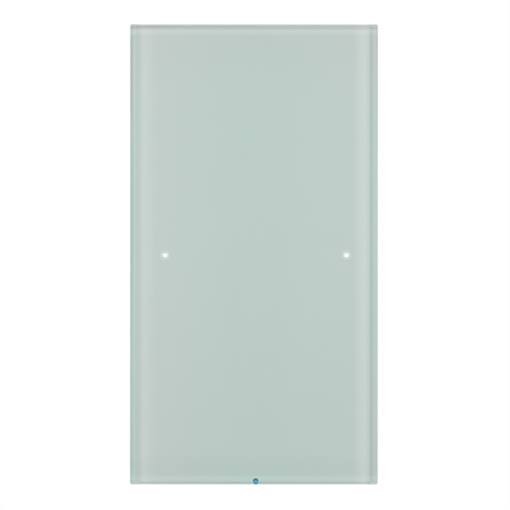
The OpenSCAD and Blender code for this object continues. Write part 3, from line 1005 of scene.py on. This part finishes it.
@dataclass
class SpringLeaves(SubAssembly):
    """The four bowed leaf springs between the carrier's skirt and the wall frame."""

    length: float = 16 * MM
    thickness: float = 0.3 * MM
    bow: float = 1.65 * MM
    corner_power: float = 8.0
    rows: int = 41
    columns: int = 32

    def section(self, width: float) -> np.ndarray:
        """The strip's cross-section: a superellipse, |u|^p + |v|^p = 1, so that its edges are round.

        Args:
            width: width of the strip.
        Returns:
            Columns by 2: across the thickness and across the width.
        """
        angle = np.linspace(0, 2 * np.pi, self.columns, endpoint=False)
        bent = [np.sign(f(angle)) * np.abs(f(angle)) ** (2 / self.corner_power) for f in (np.cos, np.sin)]
        return np.stack([bent[0] * self.thickness / 2, bent[1] * width / 2], axis=-1)

    def leaf(self, side: int, skirt_x: float, up: float, depth: tuple[float, float]) -> Patch:
        """One leaf: its section carried along x = skirt - t/2 - (bow - t) cos^2(pi s / length).

        Args:
            side: 1 on the right and -1 on the left.
            skirt_x: where the skirt's inner face is.
            up: height of the leaf's middle.
            depth: lowest and highest y of the strip.
        Returns:
            The leaf's grid, from foot to foot.
        """
        along = np.linspace(-self.length / 2, self.length / 2, self.rows)
        lift = (self.bow - self.thickness) * np.cos(np.pi * along / self.length) ** 2
        middle = skirt_x - self.thickness / 2 - lift
        slope = np.gradient(middle, along)
        turn = 1 / np.sqrt(1 + slope**2)
        section = self.section(depth[1] - depth[0])
        out_of_strip = section[None, :, 0]
        x = side * (middle[:, None] + out_of_strip * turn[:, None])
        y = np.broadcast_to(section[None, :, 1] + sum(depth) / 2, x.shape)
        z = up + along[:, None] - out_of_strip * (slope * turn)[:, None]
        return Patch(np.stack([x, y, z], axis=-1))

    def build(self) -> list[Piece]:
        """Makes the four leaves, as one piece.

        Returns:
            That piece.
        """
        low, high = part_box("retaining_springs")
        middle = high.z - self.length / 2
        places = [(side, up) for side in (-1, 1) for up in (-middle, middle)]
        leaves = [self.leaf(side, high.x, up, (low.y, high.y)) for side, up in places]
        return [self.bench.fit(piece_of("spring_leaves", leaves), "retaining_springs", Body.PANEL)]


@dataclass
class TouchElectronics(SubAssembly):
    """The touch board, what is on it and the plug to the insert."""

    pin_w: float = 0.64 * MM
    pin_corner: float = 0.1 * MM
    pin_taper: float = 0.7 * MM
    pin_tip: float = 0.5
    pin_sharp: float = 20
    columns: int = 5
    lines: int = 2
    header_edge: EdgeRound = EdgeRound(0.12 * MM)

    def pin(self, x: float, up: float, front: float, rear: float) -> Patch:
        """One pin: a square with cut corners carried from the board to its tapered tip.

        Args:
            x: where it is, to the right.
            up: where it is, upwards.
            front: y of its end in the board.
            rear: y of its tip.
        Returns:
            The pin's grid.
        """
        half, cut = self.pin_w / 2, self.pin_w / 2 - self.pin_corner
        across = np.array([half, half, cut, -cut, -half, -half, -cut, cut])
        upward = np.array([-cut, cut, half, half, cut, -cut, -half, -half])
        depth = np.array([front, rear - self.pin_taper, rear])[:, None]
        size = np.array([1.0, 1.0, self.pin_tip])[:, None]
        return Patch(np.stack([x + size * across, depth + 0 * across, up + size * upward], axis=-1))

    def build(self) -> list[Piece]:
        """Makes the pins, rounds the header and dresses the rest.

        Returns:
            The pins, the header and the nodes on the board.
        """
        low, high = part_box("header_pins")
        half = self.pin_w / 2
        across = np.linspace(low.x + half, high.x - half, self.columns)
        upward = np.linspace(low.z + half, high.z - half, self.lines)
        pins = [self.pin(x, up, low.y, high.y) for x in across for up in upward]
        on_board = ("touch_board", "touch_electrodes", "indicator_leds", "operating_led")
        return [
            self.bench.fit(piece_of("plug_pins", pins, self.pin_sharp), "header_pins", Body.PANEL),
            self.bench.soften("plug_body", "pin_header", Body.PANEL, self.header_edge),
            *self.bench.dress(*on_board, "touch_controller", "board_passives"),
        ]


class Drive(Enum):
    """The recess in a screw's head."""

    CROSS = "cross"
    SLOT = "slot"


@dataclass(frozen=True)
class Screw:
    """A screw with a rounded head and a blunt tip, whose width is a share of the shank's."""

    drive: Drive
    head_d: float
    head_h: float
    shank_d: float
    length: float
    drive_w: float
    drive_len: float
    drive_deep: float
    edge_r: float = 0.5 * MM
    wall: float = 0.1 * MM
    tip: float = 0.6
    top_rows: int = 30
    columns: int = 96

    def depth(self, x: np.ndarray, y: np.ndarray) -> np.ndarray:
        """Share of the recess's depth at a point of the head, from 0 on the face to 1 on its floor.

        A slot is where |y| stays under half its width. A cross is where the smaller of |x| and |y|
        does and the larger stays under half its length. Its walls are smooth steps, twice as wide at
        the ends of a cross.

        Args:
            x: places across the head.
            y: places across the head, square to x.
        Returns:
            The shares, in the shape of x.
        """
        short, long = np.minimum(abs(x), abs(y)), np.maximum(abs(x), abs(y))
        gap = self.drive_w / 2 - (abs(y) if self.drive is Drive.SLOT else short)
        step = np.clip(gap / self.wall + 0.5, 0, 1)
        if self.drive is Drive.CROSS:
            step = step * np.clip((self.drive_len / 2 - long) / (2 * self.wall) + 0.5, 0, 1)
        return step * step * (3 - 2 * step)

    def surface(self) -> np.ndarray:
        """Points of the screw on its axis, head up, with the underside of the head at height 0.

        A lathe profile goes from the tip up the shank, out under the head and over its round edge to
        the middle. Points above the recess's floor sink towards it by the recess's share there.

        Returns:
            Rings by columns by 3.
        """
        head_r, shank_r, top = self.head_d / 2, self.shank_d / 2, self.head_h
        tip = [(0, -self.length), (self.tip * shank_r, -self.length), (shank_r, shank_r - self.length)]
        side = quarter_round((head_r - self.edge_r, top - self.edge_r), self.edge_r)
        face = np.linspace(head_r - self.edge_r, 0, self.top_rows)
        rows = [*tip, (shank_r, 0), (head_r, 0), *side, *((r, top) for r in face[1:])]
        points = lathe(np.array(rows), self.columns)
        floor = top - self.drive_deep
        sink = np.clip(points[..., 2] - floor, 0, None)
        points[..., 2] -= sink * self.depth(points[..., 0], points[..., 1])
        return points


@dataclass
class WallFrame(SubAssembly):
    """The pressed steel frame on the wall and the screws that hold the insert in it."""

    edge: EdgeRound = EdgeRound(0.15 * MM)
    screw: Screw = Screw(
        Drive.CROSS,
        head_d=4.2 * MM,
        head_h=1.1 * MM,
        shank_d=2.1 * MM,
        length=8 * MM,
        drive_w=0.6 * MM,
        drive_len=2.4 * MM,
        drive_deep=0.6 * MM,
    )

    def build(self) -> list[Piece]:
        """Rounds the sheet's edges and makes the four screws as one piece, with their heads to the front.

        Returns:
            The sheet and the screws.
        """
        sheet = self.bench.soften("frame_sheet", "support_frame", Body.BASE, self.edge)
        low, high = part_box("insert_screws")
        half = self.screw.head_d / 2
        under = -low.y - self.screw.head_h
        form = self.screw.surface()
        places = [(x, up) for x in (low.x + half, high.x - half) for up in (low.z + half, high.z - half)]
        heads = [Patch(stand_up(form + np.array([x, up, under]))) for x, up in places]
        screws = self.bench.fit(piece_of("frame_screws", heads), "insert_screws", Body.BASE)
        return [sheet, screws]


@dataclass
class SwitchInsert(SubAssembly):
    """The insert in the wall box: its cup, cover, board and the push button on the cover."""

    cup_edge: EdgeRound = EdgeRound(0.3 * MM)
    cover_edge: EdgeRound = EdgeRound(0.15 * MM)
    socket_edge: EdgeRound = EdgeRound(0.08 * MM)
    button_d: float = 4 * MM
    button_round: float = 0.5 * MM
    button_dish: float = 0.25 * MM
    collar_t: float = 0.6 * MM
    dish_rows: int = 10

    def button(self) -> Piece:
        """The button: a lathe form with a collar, a round edge and a dished top, h = H - d (1 - (r/R)^2).

        Returns:
            The button.
        """
        low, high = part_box("programming_button")
        collar_r, stem_r = (high.x - low.x) / 2, self.button_d / 2
        height, dish_r = high.y - low.y, stem_r - self.button_round
        foot = [(0, 0), (collar_r, 0), (collar_r, self.collar_t), (stem_r, self.collar_t)]
        edge = quarter_round((dish_r, height - self.button_round), self.button_round)
        reach = np.linspace(1, 0, self.dish_rows)[1:]
        dish = np.stack([dish_r * reach, height - self.button_dish * (1 - reach**2)], axis=-1)
        points = lathe(np.concatenate([np.array(foot), edge, dish]))
        centre = (low + high) / 2
        points = points + np.array([centre.x, centre.z, -high.y])
        return piece_of("button_cap", [Patch(stand_up(points))])

    def build(self) -> list[Piece]:
        """Rounds the mouldings, makes the button and dresses the rest.

        Returns:
            The mouldings, the button and the nodes inside.
        """
        inside = ("control_board", "microcontroller", "relay", "supply_transformer", "smoothing_capacitors")
        small = ("suppression_capacitor", "programming_switch", "programming_led")
        return [
            self.bench.soften("housing_cup", "insert_housing", Body.BASE, self.cup_edge),
            self.bench.soften("cover_plate", "insert_cover", Body.BASE, self.cover_edge),
            self.bench.soften("socket_body", "socket_header", Body.BASE, self.socket_edge),
            self.bench.fit(self.button(), "programming_button", Body.BUTTON),
            *self.bench.dress(*inside, *small),
        ]


@dataclass
class Terminals(SubAssembly):
    """The terminal block with its cage clamps and their screws."""

    edge: EdgeRound = EdgeRound(0.15 * MM)
    poles: int = 4
    screw: Screw = Screw(
        Drive.SLOT,
        head_d=4 * MM,
        head_h=1.8 * MM,
        shank_d=2.6 * MM,
        length=4 * MM,
        drive_w=0.7 * MM,
        drive_len=4 * MM,
        drive_deep=0.9 * MM,
        edge_r=0.3 * MM,
    )

    def build(self) -> list[Piece]:
        """Rounds the block, makes the slotted screws, with their heads down, and dresses the clamps.

        Returns:
            The block, the screws, the clamps and their pins.
        """
        block = self.bench.soften("terminal_body", "terminal_block", Body.BASE, self.edge)
        low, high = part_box("terminal_screws")
        half = self.screw.head_d / 2
        form = stand_up(stand_up(self.screw.surface()))
        across = np.linspace(low.x + half, high.x - half, self.poles)
        under = low.z + self.screw.head_h
        heads = [Patch(form + np.array([x, (low.y + high.y) / 2, under])) for x in across]
        screws = self.bench.fit(piece_of("clamp_screws", heads), "terminal_screws", Body.BASE)
        return [block, screws, *self.bench.dress("terminal_clamps", "terminal_pins")]


# Studio


@dataclass(frozen=True)
class Lamp:
    """A square soft light that shines at the object."""

    name: str
    place: Triple
    power: float
    size: float = 1.4

    def build(self) -> None:
        """Adds the light."""
        light = bpy.data.lights.new(self.name, "AREA")
        light.size = self.size
        light.energy = self.power
        lamp = bpy.data.objects.new(self.name, light)
        lamp.location = self.place
        lamp.rotation_mode = "QUATERNION"
        lamp.rotation_quaternion = (-Vector(self.place)).to_track_quat("-Z", "Y")
        bpy.context.scene.collection.objects.link(lamp)


@dataclass
class Studio:
    """A pale floor, soft lights, a white surround and the camera in front of the plate.

    Attributes:
        view_w: width that the camera sees at the front of the glass.
        distance: distance of the camera from there.
        aim: x and z that the camera looks at.
        roll: turn of the camera against the clock, in degrees.
        sensor_w: width of the camera's sensor, in millimetres.
        sight: how far the camera sees.
        surround: strength of the surround's light on matt surfaces.
        floor_core: share of the floor's radius at which it begins to fade.
    """

    view_w: float = 170.48 * MM
    distance: float = 1.5
    aim: tuple[float, float] = (0.34 * MM, -0.2 * MM)
    roll: float = 0.02
    sensor_w: float = 36.0
    sight: float = 20.0
    surround: float = 0.7
    floor_z: float = -1.75
    floor_r: float = 5.0
    floor_core: float = 0.25
    floor_colour: Colour = (0.86, 0.86, 0.86)
    lamps: tuple[Lamp, ...] = (
        Lamp("key_light", (-1.3, -1.5, 1.5), 16.0),
        Lamp("fill_light", (1.7, -1.2, 0.5), 8.0),
        Lamp("back_light", (0.9, 1.8, 1.3), 14.0),
        Lamp("back_fill_light", (-1.6, 1.4, -0.2), 7.0),
    )

    def camera(self) -> None:
        """Adds the camera, square to the plate and rolled a little."""
        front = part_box("glass_panel")[0].y
        data = bpy.data.cameras.new("photo_camera")
        data.sensor_width = self.sensor_w
        data.lens = self.sensor_w * self.distance / self.view_w
        data.clip_end = self.sight
        camera = bpy.data.objects.new("photo_camera", data)
        camera.location = (self.aim[0], front - self.distance, self.aim[1])
        camera.rotation_euler = (math.pi / 2, -math.radians(self.roll), 0)
        bpy.context.scene.collection.objects.link(camera)
        bpy.context.scene.camera = camera

    def world(self) -> None:
        """Makes a surround that is white to the camera, to gloss and through glass."""
        world = bpy.data.worlds.new("white_surround")
        world.use_nodes = True
        bpy.context.scene.world = world
        net = Net(world.node_tree)
        strength = net.math("MULTIPLY_ADD", net.seen_rays(), 1.0 - self.surround, self.surround)
        net.feed(world.node_tree.nodes["Background"], {"Color": WHITE, "Strength": strength})

    def floor(self) -> None:
        """Lays the floor, a disc."""
        rings = np.array([(0, self.floor_z), (self.floor_r, self.floor_z)])
        floor = piece_of("studio_floor", [Patch(lathe(rings), capped=False)])
        fade = (self.floor_core * self.floor_r, self.floor_r)
        floor.data.materials.append(FloorPaint("floor_paint", self.floor_colour, fade).material())

    def build(self) -> None:
        """Sets up the whole studio."""
        bpy.context.scene.view_settings.view_transform = "Standard"
        self.world()
        self.floor()
        for lamp in self.lamps:
            lamp.build()
        self.camera()


# The switch


def coat_light_and_shade() -> dict[Edge, Sequence[EdgeLightAndShade]]:
    """The bands of painted light and shade on the coat: the light and shade that the edges of the glass
    throw along them, and painted shade towards the top and the bottom of the face.

    Returns:
        The bands along each edge of the glass.
    """
    return {
        Edge.LEFT: (
            EdgeLightAndShade(Tone.ROSE, 0.075, (22.0, 30.0)),
            EdgeLightAndShade(Tone.PAINTED_LIGHT, 0.12, (6.8, 4.4), (3.6, 1.2)),
            EdgeLightAndShade(Tone.PAINTED_SHADE, 0.06, (3.5, 0.9), (2.2, 0.5)),
            EdgeLightAndShade(Tone.GREEN, 0.12, (2.1, 0.5)),
            EdgeLightAndShade(Tone.PAINTED_SHADE, 0.17, (1.4, 0.7)),
            EdgeLightAndShade(Tone.PAINTED_LIGHT, 0.1, (1.45, 0.3), (0.9, 0.3), ((5, -35),)),
            EdgeLightAndShade(Tone.ROSE, 0.06, (1.7, 0.4), tapers=((30, 45),)),
            EdgeLightAndShade(Tone.PAINTED_SHADE, 0.12, (1.0, 0.2), tapers=((42, 52), (76, 70))),
        ),
        Edge.RIGHT: (
            EdgeLightAndShade(Tone.ROSE, 0.05, (22.0, 30.0)),
            EdgeLightAndShade(Tone.PAINTED_LIGHT, 0.17, (6.6, 3.8), (3.4, 1.0)),
            EdgeLightAndShade(Tone.PAINTED_SHADE, 0.13, (3.3, 0.4), (2.1, 0.3)),
            EdgeLightAndShade(Tone.GREEN, 0.06, (3.0, 0.6), tapers=((66, 50), (-66, -40))),
            EdgeLightAndShade(Tone.PAINTED_SHADE, 0.03, (2.2, 0.4)),
            EdgeLightAndShade(Tone.ROSE, 0.14, (1.1, 0.5)),
            EdgeLightAndShade(Tone.PAINTED_SHADE, 0.05, (1.1, 0.5)),
            EdgeLightAndShade(Tone.PAINTED_SHADE, 0.06, (0.9, 0.2), tapers=((30, 40),)),
        ),
        Edge.TOP: (
            EdgeLightAndShade(Tone.ROSE, 0.05, (15.0, 25.0)),
            EdgeLightAndShade(Tone.PAINTED_SHADE, 0.04, (15.0, 25.0)),
            EdgeLightAndShade(Tone.PAINTED_LIGHT, 0.14, (3.0, 1.6), (1.6, 0.9)),
            EdgeLightAndShade(Tone.PAINTED_SHADE, 0.1, (1.35, 0.5)),
            EdgeLightAndShade(Tone.PAINTED_SHADE, 0.12, (0.95, 0.2), tapers=((-20, -36),)),
            EdgeLightAndShade(Tone.PAINTED_LIGHT, 0.2, (0.72, 0.1), tapers=((-12, 12),)),
        ),
        Edge.BOTTOM: (
            EdgeLightAndShade(Tone.PAINTED_SHADE, 0.045, (45.0, 90.0)),
            EdgeLightAndShade(Tone.PAINTED_SHADE, 0.029, (8.5, 7.0)),
            EdgeLightAndShade(Tone.PAINTED_LIGHT, 0.09, (2.75, 0.5), (1.0, 0.4), ((-41.3, -40.8),)),
            EdgeLightAndShade(Tone.GREEN, 0.06, (2.75, 0.5), (1.0, 0.4), ((-41.3, -40.8),)),
            EdgeLightAndShade(Tone.PAINTED_SHADE, 0.3, (0.55, 0.12), tapers=((-40, -26), (39.2, 38.2))),
        ),
    }


def finishes() -> list[Finish]:
    """The finishes of the object.

    Returns:
        One finish for every slot of the record.
    """
    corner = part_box("glass_panel")[1]
    half_size = {"X": corner.x, "Z": corner.z}
    white, blue = white_spots(), blue_spot()
    glow_w, blue_drop = 0.9 * MM, 0.3 * MM
    # Painted light: the glow of the light points on the coat round them, mixed into its colour
    glows = (Glow(white, WHITE, 0.36, glow_w), Glow(blue, (0.4, 0.84, 1.0), 0.6, glow_w))
    blue_core = Spot(blue.x, blue.z - blue_drop, blue.radius)
    return [
        FloatGlass("glass"),
        BackCoat("glass_coat", (0.52, 0.641, 0.6), half_size, coat_light_and_shade(), glows),
        Moulded("tape", (0.75, 0.75, 0.72), roughness=0.8, grain=1600, relief=0.1 * MM),
        Moulded("carrier_plastic", (0.74, 0.75, 0.74)),
        SolderMask("circuit_board", (0.02, 0.16, 0.08), (0.04, 0.26, 0.13)),
        Metal("copper", (0.72, 0.38, 0.2)),
        LightPoint("white_light", WHITE, (0.72, 0.83, 0.8), white),
        Moulded("led_case", (0.85, 0.83, 0.72), roughness=0.35),
        LightPoint("blue_light", (0.03, 0.44, 0.74), (0.0, 0.13, 0.25), blue_core, core=0.2),
        Moulded("chip_case", (0.02, 0.02, 0.022), roughness=0.5),
        Moulded("chip_ceramic", (0.42, 0.32, 0.22), roughness=0.4, grain=5000),
        Moulded("plug_plastic", (0.018, 0.018, 0.02), roughness=0.42),
        Metal("gold_plate", (0.83, 0.62, 0.25), roughness=0.22),
        Metal("spring_steel", (0.6, 0.6, 0.61), roughness=0.25),
        Metal("zinc_steel", (0.62, 0.63, 0.64), roughness=0.38, spread=0.2),
        Metal("screw_steel", (0.66, 0.65, 0.62), roughness=0.28, crystal=2400),
        Moulded("housing_plastic", (0.09, 0.095, 0.105), shade=0.15),
        Moulded("cover_plastic", (0.72, 0.73, 0.72)),
        Moulded("relay_case", (0.03, 0.08, 0.2), roughness=0.35),
        Moulded("winding_tape", (0.68, 0.52, 0.1), roughness=0.3),
        Moulded("capacitor_sleeve", (0.03, 0.03, 0.06), roughness=0.25),
        Moulded("capacitor_case", (0.62, 0.44, 0.06), roughness=0.3),
        Moulded("status_light", (0.6, 0.04, 0.03), roughness=0.15, coat=0.5),
        Moulded("button_plastic", (0.45, 0.04, 0.03), roughness=0.35),
        Moulded("terminal_plastic", (0.7, 0.7, 0.67)),
        Metal("clamp_brass", (0.7, 0.52, 0.22), roughness=0.3),
        Metal("tinned_pin", (0.65, 0.65, 0.63), roughness=0.3),
    ]


def main() -> None:
    """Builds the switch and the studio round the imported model."""
    logging.basicConfig(level=logging.INFO, format="%(name)s: %(message)s")
    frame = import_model()
    slots = {part["node"]: part["material_slot"] for part in frame["record"]["subparts"]}
    materials = {finish.slot: finish.material() for finish in finishes()}
    bench = Bench(frame["nodes"], slots, materials)
    assemblies = (
        GlassPlate(bench),
        PanelCarrier(bench),
        SpringLeaves(bench),
        TouchElectronics(bench),
        WallFrame(bench),
        SwitchInsert(bench),
        Terminals(bench),
    )
    for assembly in assemblies:
        for piece in assembly.build():
            LOG.info("%s: %s", type(assembly).__name__, piece.name)
    Studio().build()


if __name__ == "__main__":
    main()
